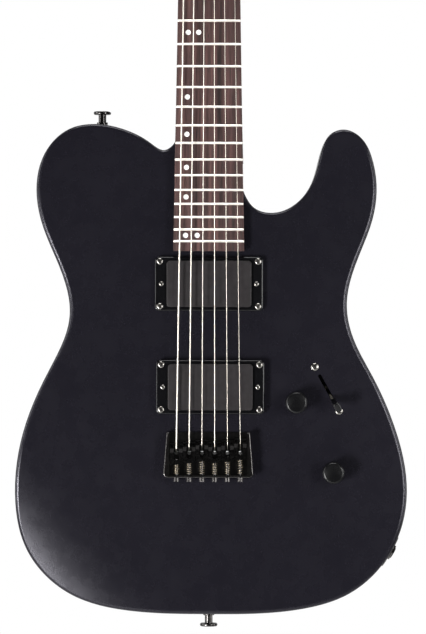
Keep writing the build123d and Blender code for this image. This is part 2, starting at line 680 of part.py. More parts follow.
def saddle(index):
    """One block saddle with its pair of height screws, built in place."""
    x = bridge_x(index)
    front = SADDLE_FRONTS[index]
    crest = saddle_crest(index)
    lip = front - CREST_OFFSET
    rear = front - SADDLE_LENGTH
    with BuildPart() as block:
        with BuildSketch(Plane.YZ.offset(x - SADDLE_WIDTH / 2)):
            with BuildLine():
                Polyline(
                    (-SADDLE_BOTTOM, front), (1.0 - crest, front), (-crest, lip + 1.2), (-crest, lip - 0.8),
                    (1.6 - crest, lip - 4), (1.8 - crest, rear), (-SADDLE_BOTTOM, rear),
                    (-SADDLE_BOTTOM, front),
                )
            make_face()
        extrude(amount=SADDLE_WIDTH)
        with BuildSketch(at_height(SADDLE_BOTTOM)):
            with Locations((x, lip - 0.1 - 5.3)):
                SlotOverall(10.6, 4.5, rotation=90)
        extrude(amount=20, mode=Mode.SUBTRACT)
        with Locations((x, -SCREW_LINE, rear)):
            Cylinder(1.3, 12, mode=Mode.SUBTRACT)
        screw_spots = [(x - 3.5, front - 1.9), (x + 3.5, front - 1.9)]
        with BuildSketch(at_height(SADDLE_BOTTOM)):
            with Locations(*screw_spots):
                Circle(1.35)
        extrude(amount=20, mode=Mode.SUBTRACT)
        with BuildSketch(at_height(BRIDGE_BASE + 0.02)):
            with Locations(*screw_spots):
                Circle(1.3)
        extrude(amount=crest - 0.9 - BRIDGE_BASE)
        with BuildSketch(at_height(crest - 2.6)):
            with Locations(*screw_spots):
                RegularPolygon(0.75, 6)
        extrude(amount=4, mode=Mode.SUBTRACT)
    block.part.label = f"saddle_{index + 1}"
    export_step(block.part, f"parts/saddle_{index + 1}.step")


for i in range(6):
    saddle(i)

with BuildPart() as intonation_screws:
    for i in range(6):
        with Locations((bridge_x(i), -SCREW_LINE, BRIDGE_REAR_Z)):
            Cylinder(2.3, 3.3, align=HANGING)
        rod(
            (bridge_x(i), -SCREW_LINE, BRIDGE_REAR_Z),
            (bridge_x(i), -SCREW_LINE, SADDLE_FRONTS[i] - SADDLE_LENGTH + 4.4),
            1.22,
        )
        with Locations((bridge_x(i), -SCREW_LINE, BRIDGE_REAR_Z - 3.3)):
            cross_recess(3.4, 0.7, 2.0)
intonation_screws.part.label = "intonation_screws"
export_step(intonation_screws.part, "parts/intonation_screws.step")

with BuildPart() as intonation_springs:
    for i in range(6):
        seat = BRIDGE_REAR_Z + BRIDGE_WALL_T + 0.4
        reach = SADDLE_FRONTS[i] - SADDLE_LENGTH - 0.4 - seat
        coil((bridge_x(i), -SCREW_LINE, seat), (0, 0, 1), reach, 2.0, 0.3, 6)
intonation_springs.part.label = "intonation_springs"
export_step(intonation_springs.part, "parts/intonation_springs.step")

# ---------------------------------------------------------------- tuners
with BuildPart() as tuner_housings:
    with BuildSketch(*TUNER_PLANES):
        with Locations((0.5, 1.5)):
            RectangleRounded(21, 16.5, 2)
    extrude(amount=-9.0)
    fillet(edges().group_by(Axis.Y)[-1], 1.5)
    with BuildSketch(*TUNER_PLANES):
        with Locations((0.5, 1.5)):
            RectangleRounded(18, 14.1, 1)
    extrude(amount=-7.6, mode=Mode.SUBTRACT)
    for plane in TUNER_PLANES:
        with Locations(worm_plane(plane, 6)):
            Cylinder(1.56, 12, align=STANDING, mode=Mode.SUBTRACT)
tuner_housings.part.label = "tuner_housings"
export_step(tuner_housings.part, "parts/tuner_housings.step")

with BuildPart() as tuner_bushings:
    with BuildSketch(*TUNER_PLANES):
        Circle(4.95)
        Circle(POST_RADIUS + RUNNING_GAP, mode=Mode.SUBTRACT)
    extrude(amount=HEAD_FACE - HEAD_BACK)
    with BuildSketch(*[plane.offset(HEAD_FACE - HEAD_BACK) for plane in TUNER_PLANES]):
        Circle(6.8)
        Circle(POST_RADIUS + RUNNING_GAP, mode=Mode.SUBTRACT)
    extrude(amount=0.8)
    with BuildSketch(*[plane.offset(HEAD_FACE - HEAD_BACK + 0.8) for plane in TUNER_PLANES]):
        RegularPolygon(5.2, 6, major_radius=False)
        Circle(POST_RADIUS + RUNNING_GAP, mode=Mode.SUBTRACT)
    extrude(amount=1.3)
tuner_bushings.part.label = "tuner_bushings"
export_step(tuner_bushings.part, "parts/tuner_bushings.step")


def tuner_post(index):
    """String post with the toothed wheel that the worm turns."""
    plane = TUNER_PLANES[index]
    with BuildPart() as post:
        with BuildSketch(plane.offset(-6.0)):
            Circle(POST_RADIUS)
        extrude(amount=WRAP_HEIGHT - HEAD_BACK + 6.0 + 4.5)
        chamfer(edges().group_by(Axis.Y)[0], 0.5)
        with BuildSketch(plane.offset(-6.0)):
            Circle(3.7)
            with PolarLocations(3.85, GEAR_TEETH):
                Rectangle(0.7, 0.6)
        extrude(amount=3.0)
        string_hole = plane.from_local_coords((0, 0, WRAP_HEIGHT - HEAD_BACK + 2.2))
        with Locations(Plane(origin=string_hole, z_dir=BUTTON_DIR)):
            Cylinder(0.8, 8, mode=Mode.SUBTRACT)
    post.part.label = f"tuner_post_{index + 1}"
    export_step(post.part, f"parts/tuner_post_{index + 1}.step")


def tuner_button(index):
    """Oval button on its worm shaft."""
    plane = TUNER_PLANES[index]
    with BuildPart() as button:
        with Locations(worm_plane(plane, -6.5)):
            Cylinder(1.5, 26, align=STANDING)
        with Locations(worm_plane(plane, -4.5)):
            Cylinder(1.7, 9, align=STANDING)
        with Locations(worm_plane(plane, 11.5)):
            Cylinder(2.6, 4.5, align=STANDING)
        middle = worm_plane(plane, 21.5).origin
        with BuildSketch(Plane(origin=middle, x_dir=BUTTON_DIR, z_dir=POST_DIR).offset(-3.2)):
            Ellipse(6.6, 7.6)
        extrude(amount=6.4)
        fillet(edges().filter_by(lambda e: e.length > 40), 2.0)
    button.part.label = f"tuner_button_{index + 1}"
    export_step(button.part, f"parts/tuner_button_{index + 1}.step")


for i in range(6):
    tuner_post(i)
    tuner_button(i)

# ---------------------------------------------------------------- pickups


def pickup_ring(name, centre, top):
    """Mounting ring with its rounded rim and screw holes."""
    with BuildPart() as ring:
        with BuildSketch(at_height(BODY_T)):
            with Locations(centre):
                RectangleRounded(*RING_SIZE, 3.5)
                RectangleRounded(PICKUP_SIZE[0] + 0.8, PICKUP_SIZE[1] + 0.8, 3.2, mode=Mode.SUBTRACT)
                with GridLocations(*RING_SCREW_SPACING, 2, 2):
                    Circle(1.3, mode=Mode.SUBTRACT)
                with GridLocations(HEIGHT_SCREW_SPACING, 0, 2, 1):
                    Circle(1.45, mode=Mode.SUBTRACT)
        extrude(amount=top - BODY_T)
        fillet(edges().group_by(Axis.Y)[0].filter_by(lambda e: abs(e.center().X - centre[0]) > 41), 1.2)
    ring.part.label = name
    export_step(ring.part, f"parts/{name}.step")


def pickup(name, centre, top):
    """Closed pickup with a mounting ear at each end."""
    with BuildPart() as unit:
        with BuildSketch(at_height(EAR_HEIGHT)):
            with Locations(centre):
                RectangleRounded(*PICKUP_SIZE, 2.8)
        extrude(amount=top - EAR_HEIGHT)
        fillet(edges().group_by(Axis.Y)[0], 0.8)
        with BuildSketch(at_height(EAR_HEIGHT)):
            with Locations(centre):
                RectangleRounded(85.0, 12.0, 2)
                with GridLocations(HEIGHT_SCREW_SPACING, 0, 2, 1):
                    Circle(1.3, mode=Mode.SUBTRACT)
        extrude(amount=1.6)
    unit.part.label = name
    export_step(unit.part, f"parts/{name}.step")


for side, centre, ring_top, pickup_top in zip(("neck", "bridge"), PICKUP_CENTRES, RING_TOPS, PICKUP_TOPS):
    pickup_ring(f"{side}_pickup_ring", centre, ring_top)
    pickup(f"{side}_pickup", centre, pickup_top)

with BuildPart() as pickup_ring_screws:
    for centre, top in zip(PICKUP_CENTRES, RING_TOPS):
        with Locations(Plane(origin=spaced(centre, top), x_dir=(1, 0, 0), z_dir=(0, -1, 0))):
            with GridLocations(*RING_SCREW_SPACING, 2, 2):
                Cylinder(1.1, top - BODY_T + 11, align=HANGING)
                Cone(RING_SCREW_HEAD, 1.8, 1.1, align=STANDING)
    for centre, top in zip(PICKUP_CENTRES, RING_TOPS):
        with Locations(Plane(origin=spaced(centre, top + 0.7), x_dir=(1, 0, 0), z_dir=(0, -1, 0))):
            with GridLocations(*RING_SCREW_SPACING, 2, 2):
                cross_recess(2.4, 0.6, 1.2)
pickup_ring_screws.part.label = "pickup_ring_screws"
export_step(pickup_ring_screws.part, "parts/pickup_ring_screws.step")

with BuildPart() as pickup_height_screws:
    for centre, top in zip(PICKUP_CENTRES, RING_TOPS):
        with Locations(Plane(origin=spaced(centre, top), x_dir=(1, 0, 0), z_dir=(0, -1, 0))):
            with GridLocations(HEIGHT_SCREW_SPACING, 0, 2, 1):
                Cylinder(1.24, top - EAR_HEIGHT + 4.5, align=HANGING)
                Cylinder(2.0, 1.1, align=STANDING)
        with Locations(Plane(origin=spaced(centre, top + 0.7), x_dir=(1, 0, 0), z_dir=(0, -1, 0))):
            with GridLocations(HEIGHT_SCREW_SPACING, 0, 2, 1):
                cross_recess(2.2, 0.6, 1.2)
pickup_height_screws.part.label = "pickup_height_screws"
export_step(pickup_height_screws.part, "parts/pickup_height_screws.step")

with BuildPart() as pickup_springs:
    for centre in PICKUP_CENTRES:
        for side in (-1, 1):
            x = centre[0] + side * HEIGHT_SCREW_SPACING / 2
            coil((x, -EAR_HEIGHT - 2.0, centre[1]), (0, -1, 0), BODY_T - EAR_HEIGHT - 2.5, 2.1, 0.35, 7)
pickup_springs.part.label = "pickup_springs"
export_step(pickup_springs.part, "parts/pickup_springs.step")

# ---------------------------------------------------------------- controls


def knob(name, place):
    """Plain round knob, hollow below to clear the nut."""
    with BuildPart() as cap:
        with BuildSketch(at_height(BODY_T + 0.6)):
            with Locations(place):
                Circle(KNOB_RADIUS)
        extrude(amount=KNOB_TOP - BODY_T - 0.6)
        fillet(edges().group_by(Axis.Y)[0], 2.2)
        with Locations(Plane(origin=spaced(place, KNOB_TOP + 38.4), z_dir=(0, -1, 0))):
            Sphere(39.0, mode=Mode.SUBTRACT)
        with BuildSketch(at_height(BODY_T + 0.6)):
            with Locations(place):
                Circle(7.6)
        extrude(amount=4.4, mode=Mode.SUBTRACT)
        with BuildSketch(at_height(BODY_T + 0.6)):
            with Locations(place):
                Circle(SHAFT_RADIUS)
        extrude(amount=12.4, mode=Mode.SUBTRACT)
    cap.part.label = name
    export_step(cap.part, f"parts/{name}.step")


def shaft(name, place):
    """Potentiometer shaft that turns with its knob."""
    with BuildPart() as stem:
        with BuildSketch(at_height(SHAFT_FOOT)):
            with Locations(place):
                Circle(SHAFT_RADIUS)
        extrude(amount=BODY_T + 13.0 - SHAFT_FOOT)
        with BuildSketch(at_height(SHAFT_FOOT)):
            with Locations(place):
                Circle(6.5)
        extrude(amount=1.5)
    stem.part.label = name
    export_step(stem.part, f"parts/{name}.step")


for role, place in (("volume", VOLUME_XZ), ("tone", TONE_XZ)):
    knob(f"{role}_knob", place)
    shaft(f"{role}_shaft", place)

with BuildPart() as potentiometers:
    with BuildSketch(at_height(POT_FLOOR)):
        with Locations(*POT_PLACES):
            Circle(12.0)
    extrude(amount=TOP_SKIN_UNDERSIDE - POT_FLOOR)
    with BuildSketch(at_height(TOP_SKIN_UNDERSIDE)):
        with Locations(*POT_PLACES):
            Circle(4.7)
    extrude(amount=10.0)
    with BuildSketch(at_height(BODY_T)):
        with Locations(*POT_PLACES):
            Circle(6.8)
    extrude(amount=0.8)
    with BuildSketch(at_height(BODY_T + 0.8)):
        with Locations(*POT_PLACES):
            RegularPolygon(5.9, 6, major_radius=False)
    extrude(amount=1.8)
    with BuildSketch(at_height(29.0)):
        with Locations(*POT_PLACES):
            Circle(7.5)
    extrude(amount=4.0, mode=Mode.SUBTRACT)
    with BuildSketch(at_height(29.0)):
        with Locations(*POT_PLACES):
            Circle(SHAFT_RADIUS + RUNNING_GAP)
    extrude(amount=30, mode=Mode.SUBTRACT)
    # terminals
    for place in POT_PLACES:
        with BuildSketch(at_height(35.0)):
            with Locations((place[0] + 13.0, place[1])):
                with GridLocations(0, 5, 1, 3):
                    Rectangle(6, 2.2)
        extrude(amount=0.8)
potentiometers.part.label = "potentiometers"
export_step(potentiometers.part, "parts/potentiometers.step")

# ---------------------------------------------------------------- selector
with BuildPart() as selector_switch:
    with BuildSketch(SELECTOR_PLANE.offset(TOP_SKIN_UNDERSIDE - SWITCH_PLATE_T)):
        RectangleRounded(48, 10, 3)
        SlotOverall(*SELECTOR_SLOT, mode=Mode.SUBTRACT)
        with GridLocations(SELECTOR_SCREW_SPACING, 0, 2, 1):
            Circle(1.45, mode=Mode.SUBTRACT)
    extrude(amount=SWITCH_PLATE_T)
    with BuildSketch(SELECTOR_PLANE.offset(SWITCH_FLOOR)):
        with GridLocations(0, 6.2, 1, 2):
            Rectangle(30, 1.4)
    extrude(amount=TOP_SKIN_UNDERSIDE - SWITCH_PLATE_T - SWITCH_FLOOR)
    with Locations(Plane(origin=spaced(SELECTOR_XZ, SELECTOR_PIVOT), z_dir=SELECTOR_PLANE.y_dir)):
        Cylinder(1.5, 7.6)
selector_switch.part.label = "selector_switch"
export_step(selector_switch.part, "parts/selector_switch.step")

with BuildPart() as selector_lever:
    with BuildSketch(LEVER_PLANE.offset(-0.8)):
        Circle(4.6)
        with Locations((15, 0)):
            Rectangle(30, 5.0)
        with Locations((32, 0)):
            Rectangle(8, 3.2)
        Circle(1.5 + RUNNING_GAP, mode=Mode.SUBTRACT)
    extrude(amount=1.6)
selector_lever.part.label = "selector_lever"
export_step(selector_lever.part, "parts/selector_lever.step")

with BuildPart() as selector_tip:
    for along, size, corner in ((28.5, (4.6, 6.6), 1.6), (41.0, (5.6, 8.6), 1.8)):
        spot = LEVER_PLANE.from_local_coords((along, 0, 0))
        with BuildSketch(Plane(origin=spot, x_dir=SELECTOR_PLANE.y_dir, z_dir=LEVER_DIR)):
            RectangleRounded(*size, corner)
    loft()
    fillet(faces().sort_by(Axis.Y)[0].edges(), 1.2)
    with BuildSketch(LEVER_PLANE.offset(-0.8)):
        with Locations((32, 0)):
            Rectangle(8, 3.2)
        with Locations((28.5, 0)):
            Rectangle(3, 5.0)
    extrude(amount=1.6, mode=Mode.SUBTRACT)
selector_tip.part.label = "selector_tip"
export_step(selector_tip.part, "parts/selector_tip.step")

with BuildPart() as selector_screws:
    with Locations(SELECTOR_PLANE.offset(BODY_T)):
        with GridLocations(SELECTOR_SCREW_SPACING, 0, 2, 1):
            Cylinder(1.4, 12, align=HANGING)
            Cone(3.3, 2.3, 1.7, align=STANDING)
    with Locations(SELECTOR_PLANE.offset(BODY_T + 1.2)):
        with GridLocations(SELECTOR_SCREW_SPACING, 0, 2, 1):
            cross_recess(3.2, 0.8, 1.4)
selector_screws.part.label = "selector_screws"
export_step(selector_screws.part, "parts/selector_screws.step")

# ---------------------------------------------------------------- output and hardware
with BuildPart() as jack_plate:
    with Locations(JACK_PLANE.offset(-JACK_SEAT)):
        Cylinder(14.0, 1.6, align=STANDING)
        Cylinder(4.7, 5, mode=Mode.SUBTRACT)
jack_plate.part.label = "jack_plate"
export_step(jack_plate.part, "parts/jack_plate.step")

with BuildPart() as output_jack:
    with Locations(JACK_PLANE.offset(-JACK_SEAT)):
        Cylinder(9.0, 30, align=HANGING)
        Cylinder(4.7, 4.4, align=STANDING)
    with BuildSketch(JACK_PLANE.offset(-0.2)):
        RegularPolygon(6.2, 6, major_radius=False)
    extrude(amount=2.0)
    with Locations(JACK_PLANE.offset(4)):
        Cylinder(3.2, 32, align=HANGING, mode=Mode.SUBTRACT)
output_jack.part.label = "output_jack"
export_step(output_jack.part, "parts/output_jack.step")

with BuildPart() as strap_buttons:
    for plane in STRAP_BUTTON_PLANES:
        with Locations(plane):
            Cylinder(4.5, 2.0, align=STANDING)
            Cylinder(3.2, 9.0, align=STANDING)
        with Locations(plane.offset(8.4)):
            Cylinder(7.2, 2.8, align=STANDING)
    fillet(edges().filter_by(GeomType.CIRCLE).filter_by(lambda e: e.radius > 7), 1.1)
    for plane in STRAP_BUTTON_PLANES:
        with Locations(plane):
            Cylinder(1.8, 30, align=STANDING, mode=Mode.SUBTRACT)
        with Locations(plane.offset(11.2)):
            Cone(1.8, 3.9, 2.1, align=HANGING, mode=Mode.SUBTRACT)
strap_buttons.part.label = "strap_buttons"
export_step(strap_buttons.part, "parts/strap_buttons.step")

with BuildPart() as strap_screws:
    for plane in STRAP_BUTTON_PLANES:
        with Locations(plane.offset(11.1)):
            Cone(1.7, 3.7, 2.0, align=HANGING)
            Cylinder(1.7, 38, align=HANGING)
            cross_recess(3.6, 0.8, 2.0)
strap_screws.part.label = "strap_screws"
export_step(strap_screws.part, "parts/strap_screws.step")

with BuildPart() as control_cover:
    with BuildSketch(Plane.XZ):
        Polygon(*CAVITY_CORNERS, align=None)
        fillet(vertices(), 8)
        offset(amount=6.8)
        with Locations(*COVER_SCREWS):
            Circle(1.4, mode=Mode.SUBTRACT)
    extrude(amount=COVER_T)
    with Locations(*[Plane(origin=(x, 0, z), z_dir=(0, -1, 0)) for x, z in COVER_SCREWS]):
        Cone(2.6, 1.4, 1.3, align=STANDING, mode=Mode.SUBTRACT)
control_cover.part.label = "control_cover"
export_step(control_cover.part, "parts/control_cover.step")

with BuildPart() as small_screws:
    # control cover
    with Locations(*[Plane(origin=(x, 0, z), z_dir=(0, -1, 0)) for x, z in COVER_SCREWS]):
        Cone(2.6, 1.3, 1.3, align=STANDING)
        Cylinder(1.25, 10.5, align=STANDING)
        cross_recess(2.8, 0.6, 1.6)
    # truss rod cover
    with Locations(*[Plane(origin=(x, -HEAD_FACE - 1.6, z), z_dir=(0, 1, 0)) for x, z in COVER_HOLES]):
        Cylinder(1.8, 0.8, align=HANGING)
        Cylinder(0.9, 8.5, align=STANDING)
        cross_recess(2.0, 0.5, 1.1)
small_screws.part.label = "small_screws"
export_step(small_screws.part, "parts/small_screws.step")

with BuildPart() as battery:
    with BuildSketch(at_height(3.2)):
        with Locations((97.5, -1.0)):
            RectangleRounded(46.0, 26.0, 2)
    extrude(amount=17.0)
    with BuildSketch(Plane.YZ.offset(120.5)):
        with Locations((-11.7, -7.5), (-11.7, 5.5)):
            Circle(3.0)
    extrude(amount=2.2)
battery.part.label = "battery"
export_step(battery.part, "parts/battery.step")
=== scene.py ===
import json
import math

import bmesh
import bpy
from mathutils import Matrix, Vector


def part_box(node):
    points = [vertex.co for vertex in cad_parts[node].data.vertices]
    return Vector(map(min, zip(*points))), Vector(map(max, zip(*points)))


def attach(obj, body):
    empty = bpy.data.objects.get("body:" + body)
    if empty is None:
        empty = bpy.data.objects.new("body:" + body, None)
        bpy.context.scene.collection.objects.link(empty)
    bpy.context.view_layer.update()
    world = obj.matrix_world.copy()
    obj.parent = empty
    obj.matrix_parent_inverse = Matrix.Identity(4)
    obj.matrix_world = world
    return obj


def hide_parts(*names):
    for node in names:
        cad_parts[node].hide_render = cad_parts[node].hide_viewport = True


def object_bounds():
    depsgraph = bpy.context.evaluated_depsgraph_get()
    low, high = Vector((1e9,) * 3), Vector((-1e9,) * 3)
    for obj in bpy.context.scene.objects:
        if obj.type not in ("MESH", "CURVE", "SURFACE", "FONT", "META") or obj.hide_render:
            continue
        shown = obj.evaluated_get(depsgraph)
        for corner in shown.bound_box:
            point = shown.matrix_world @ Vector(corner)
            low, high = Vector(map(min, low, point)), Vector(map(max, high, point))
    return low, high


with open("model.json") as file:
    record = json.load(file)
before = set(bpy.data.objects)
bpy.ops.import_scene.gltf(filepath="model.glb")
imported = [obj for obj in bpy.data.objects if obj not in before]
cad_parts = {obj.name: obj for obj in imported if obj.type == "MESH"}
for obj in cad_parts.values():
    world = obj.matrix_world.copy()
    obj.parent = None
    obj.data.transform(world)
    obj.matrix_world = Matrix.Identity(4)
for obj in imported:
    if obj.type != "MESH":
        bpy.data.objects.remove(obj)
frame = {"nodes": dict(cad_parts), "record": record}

CAD_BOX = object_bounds()
NODES = frame["nodes"]

# Driving dimensions of the CAD model that its boxes don't give, in metres
SCALE_LENGTH = 0.6477
FRET_COUNT = 24
FRET_HEIGHT = 0.0012
FRET_WIDTH = 0.0020
BOARD_TOP = 0.0525
BOARD_RADIUS = 0.350
NUT_WIDTH = 0.0415
BOARD_TAPER = 0.0340
NUT_SPREAD = 0.034
NUT_THICKNESS = 0.0046
NUT_ACTION = 0.0015
BRIDGE_SPACING = 0.0105
BRIDGE_BASE = 0.0465
CREST_HEIGHT = 0.057
CREST_OFFSET = 0.0037
SADDLE_FRONTS = (-0.0044, -0.0031, -0.0016, -0.0031, -0.0019, -0.0003)
STRING_HOLE_Z = -0.012
STRING_START = 0.0046
STRING_RADII = (0.00058, 0.00046, 0.00033, 0.00022, 0.00017, 0.00013)
STRING_GAP = 0.00012
WOUND_COUNT = 3
POST_RADIUS = 0.003
WRAP_HEIGHT = 0.0496
WRAP_TURNS = 2
FIRST_POST = (-0.0202, 0.686)
POST_STEP = (0.0068, 0.025)
TREE_Z = 0.712
TREE_HEIGHT = 0.0484
TREE_GAP = 0.00035

# Screws: head radius and rise, then shank radius and length
RING_SCREW = (0.0026, 0.0011, 0.0010, 0.014)
HEIGHT_SCREW = (0.0020, 0.0011, 0.0011, 0.022)
SWITCH_SCREW = (0.0033, 0.0017, 0.0013, 0.011)
RING_SCREW_SPACING = (0.0808, 0.0369)
HEIGHT_SCREW_SPACING = 0.0781
SELECTOR_SCREW_SPACING = 0.0413
SELECTOR_DIR = Vector((0.485, 0, -0.8745))

# Fineness and small forms of the visual pieces
CROWN_POINTS = 9
FRET_SPANS = 20
FRET_SEAT = 0.0002
END_DRESSING = ((0.0, 0.18), (0.00025, 0.62), (0.0006, 0.9), (0.001, 1.0))
ROUND = 40
SHARP_EDGE = math.radians(35)
EDGE_BREAK = 0.00035
STRING_BEND = 0.0012
WRAP_POINTS = 24

# Studio: name, place, aim, size and power of each lamp; the camera; the floor
LAMPS = (
    ("left_strip", (-1.9, -0.35, 0.25), (0, 0, 0.2), (0.5, 1.6), 24),
    ("right_strip", (1.9, -0.35, 0.25), (0, 0, 0.2), (0.5, 1.6), 22),
    ("top_strip", (0, -0.45, 1.9), (0, 0, 0.3), (1.4, 0.5), 26),
    ("right_key", (0.62, -0.75, 0.06), (0.12, 0, 0.02), (0.2, 0.5), 6.0),
    ("contour_sheen", (-1.42, -1.65, -0.68), (-0.13, 0, -0.1), (0.5, 0.7), 98),
    ("back_fill", (0.4, 2.0, 1.2), (0, 0, 0.3), (1.6, 1.6), 24),
)
CAMERA_X = 0.00366
CAMERA_Z = 0.0997
CAMERA_ROLL = -0.00203
AIM_Y = -0.0537
DISTANCE = 3.0
FRAME_HEIGHT = 0.5205
SENSOR_HEIGHT = 36
FLOOR_DROP = 1.1
FLOOR_HALF = 2.0


def crown_drop(x):
    """How far the cambered playing surface falls at a distance from the centreline."""
    return BOARD_RADIUS - math.sqrt(BOARD_RADIUS ** 2 - x ** 2)


def board_half(z):
    """Half width of the fretboard at a station."""
    return (NUT_WIDTH + BOARD_TAPER * (SCALE_LENGTH - z)) / 2


def fret_z(number):
    """Station of a fret, by the twelfth root of two."""
    return SCALE_LENGTH * 2 ** (-number / 12)


# ------------------------------------------------------------------ material tools


class Paint:
    """One procedural material, with short ways to add the nodes that it needs."""

    def __init__(self, name):
        self.material = bpy.data.materials.new(name)
        self.material.use_nodes = True
        self.tree = self.material.node_tree
        self.shader = self.tree.nodes["Principled BSDF"]
        self.place = self.add("ShaderNodeTexCoord").outputs["Object"]

    def add(self, kind, **facts):
        node = self.tree.nodes.new(kind)
        for key, value in facts.items():
            setattr(node, key, value)
        return node

    def link(self, source, target):
        self.tree.links.new(source, target)

    def set(self, **values):
        for name, value in values.items():
            self.shader.inputs[name.replace("_", " ")].default_value = value

    def stretched(self, scale, turn=(0, 0, 0)):
        """Object coordinates, in metres, times a scale for each axis."""
        mapping = self.add("ShaderNodeMapping")
        mapping.inputs["Scale"].default_value = scale
        mapping.inputs["Rotation"].default_value = turn
        self.link(self.place, mapping.inputs["Vector"])
        return mapping.outputs["Vector"]

    def noise(self, scale, detail=3.0, rough=0.55, place=None):
        node = self.add("ShaderNodeTexNoise")
        node.inputs["Scale"].default_value = scale
        node.inputs["Detail"].default_value = detail
        node.inputs["Roughness"].default_value = rough
        self.link(place or self.place, node.inputs["Vector"])
        return node.outputs["Fac"]

    def ramp(self, source, *stops):
        """Colour ramp over (position, colour) stops."""
        node = self.add("ShaderNodeValToRGB")
        elements = node.color_ramp.elements
        while len(elements) < len(stops):
            elements.new(0.5)
        for element, (position, colour) in zip(elements, stops):
            element.position = position
            element.color = (*colour, 1)
        self.link(source, node.inputs["Fac"])
        return node.outputs["Color"]

    def spread(self, source, low, high, start=0.3, end=0.7):
        """Maps a texture value from start..end to low..high."""
        node = self.add("ShaderNodeMapRange")
        node.inputs["From Min"].default_value = start
        node.inputs["From Max"].default_value = end
        node.inputs["To Min"].default_value = low
        node.inputs["To Max"].default_value = high
        self.link(source, node.inputs["Value"])
        return node.outputs["Result"]

    def mix(self, factor, first, second, blend="MIX"):
        """Mixes two colours, each given as a socket or a plain colour."""
        node = self.add("ShaderNodeMix", data_type="RGBA", blend_type=blend)
        for socket, value in ((node.inputs[0], factor), (node.inputs[6], first), (node.inputs[7], second)):
            if hasattr(value, "links"):
                self.link(value, socket)
            elif isinstance(value, (int, float)):
                socket.default_value = value
            else:
                socket.default_value = (*value, 1)
        return node.outputs[2]

    def bump(self, height, strength, distance, below=None):
        node = self.add("ShaderNodeBump")
        node.inputs["Strength"].default_value = strength
        node.inputs["Distance"].default_value = distance
        self.link(height, node.inputs["Height"])
        if below:
            self.link(below, node.inputs["Normal"])
        return node.outputs["Normal"]

    def finish(self, colour=None, rough=None, normal=None):
        for value, name in ((colour, "Base Color"), (rough, "Roughness"), (normal, "Normal")):
            if value:
                self.link(value, self.shader.inputs[name])
        return self.material


def satin_lacquer(name, dark, light, rough):
    """Satin lacquer with a faint orange peel and handling marks in its gloss."""
    paint = Paint(name)
    paint.set(Specular_IOR_Level=0.27, Specular_Tint=(0.93, 0.91, 1.0, 1))
    tone = paint.ramp(paint.noise(9, 4), (0.3, dark), (0.7, light))
    gloss = paint.spread(paint.noise(60, 6, 0.7), rough - 0.03, rough + 0.04)
    peel = paint.bump(paint.noise(700, 2), 0.05, 0.0004)
    grain = paint.noise(1, 5, 0.6, paint.stretched((900, 900, 40)))
    return paint.finish(tone, gloss, paint.bump(grain, 0.03, 0.0003, peel))


def rosewood(name):
    """Oiled rosewood: long dark streaks, reddish ground, open pores along the grain."""
    paint = Paint(name)
    paint.set(Specular_IOR_Level=0.25)
    streak = paint.noise(1, 5, 0.65, paint.stretched((260, 260, 9)))
    ground = paint.ramp(
        streak,
        (0.32, (0.008, 0.004, 0.004)), (0.45, (0.030, 0.014, 0.0125)),
        (0.57, (0.060, 0.028, 0.026)), (0.70, (0.110, 0.055, 0.048)),
    )
    patch = paint.noise(22, 3)
    ground = paint.mix(paint.spread(patch, 0, 0.4), ground, (0.030, 0.016, 0.015))
    pores = paint.noise(1, 2, 0.5, paint.stretched((1900, 1900, 110)))
    pore_line = paint.spread(pores, 0, 1, 0.62, 0.7)
    colour = paint.mix(pore_line, ground, (0.008, 0.005, 0.005))
    gloss = paint.spread(streak, 0.5, 0.68)
    depth = paint.spread(pores, 1, 0, 0.6, 0.7)
    return paint.finish(colour, gloss, paint.bump(depth, 0.5, 0.0003))


def metal(name, colour, rough, scratch=(600, 600, 600), strength=0.05, tint=None):
    """Plated or polished metal with fine scratches and uneven gloss."""
    paint = Paint(name)
    paint.set(Metallic=1.0)
    line = paint.noise(1, 4, 0.7, paint.stretched(scratch))
    patch = paint.spread(paint.noise(140, 3), 0, 1)
    tone = paint.mix(patch, colour, tint or tuple(c * 0.8 for c in colour))
    gloss = paint.spread(line, rough * 0.75, rough * 1.35)
    return paint.finish(tone, gloss, paint.bump(line, strength, 0.0002))


def moulded(name, dark, light, rough, grain, strength, gloss_level=0.35):
    """Moulded plastic with a fine grain."""
    paint = Paint(name)
    paint.set(Specular_IOR_Level=gloss_level)
    tone = paint.ramp(paint.noise(grain * 0.15, 4), (0.3, dark), (0.7, light))
    gloss = paint.spread(paint.noise(90, 5, 0.7), rough * 0.85, rough * 1.15)
    return paint.finish(tone, gloss, paint.bump(paint.noise(grain, 2), strength, 0.0003))


def pearl(name):
    """Shell inlay: pale, with soft clouds and a polished top."""
    paint = Paint(name)
    paint.set(Coat_Weight=0.6, Coat_Roughness=0.1)
    cloud = paint.noise(420, 4, 0.6)
    colour = paint.ramp(
        cloud, (0.3, (0.62, 0.64, 0.62)), (0.5, (0.85, 0.85, 0.82)), (0.7, (0.95, 0.93, 0.9)),
    )
    return paint.finish(colour, paint.spread(cloud, 0.18, 0.32), paint.bump(cloud, 0.05, 0.0002))


def wound_string(name):
    """Round-wound string: close turns of wire across its length, with painted shade darkening the grooves
    between turns.
    """
    paint = Paint(name)
    paint.set(Metallic=1.0)
    turns = paint.add("ShaderNodeTexWave", bands_direction="Z")
    turns.inputs["Scale"].default_value = 1250
    turns.inputs["Distortion"].default_value = 0.4
    paint.link(paint.place, turns.inputs["Vector"])
    groove = turns.outputs["Fac"]
    # painted shade: the colour is darker in the grooves between the turns of wire and lighter on their
    # crowns
    colour = paint.ramp(groove, (0.0, (0.40, 0.36, 0.31)), (0.6, (0.80, 0.76, 0.69)))
    return paint.finish(colour, paint.spread(groove, 0.42, 0.28), paint.bump(groove, 0.35, 0.0001))


def plain_string(name):
    """Plain steel string with faint drawing marks."""
    return metal(name, (0.80, 0.75, 0.66), 0.42, (900, 900, 30), 0.01, (0.76, 0.71, 0.62))


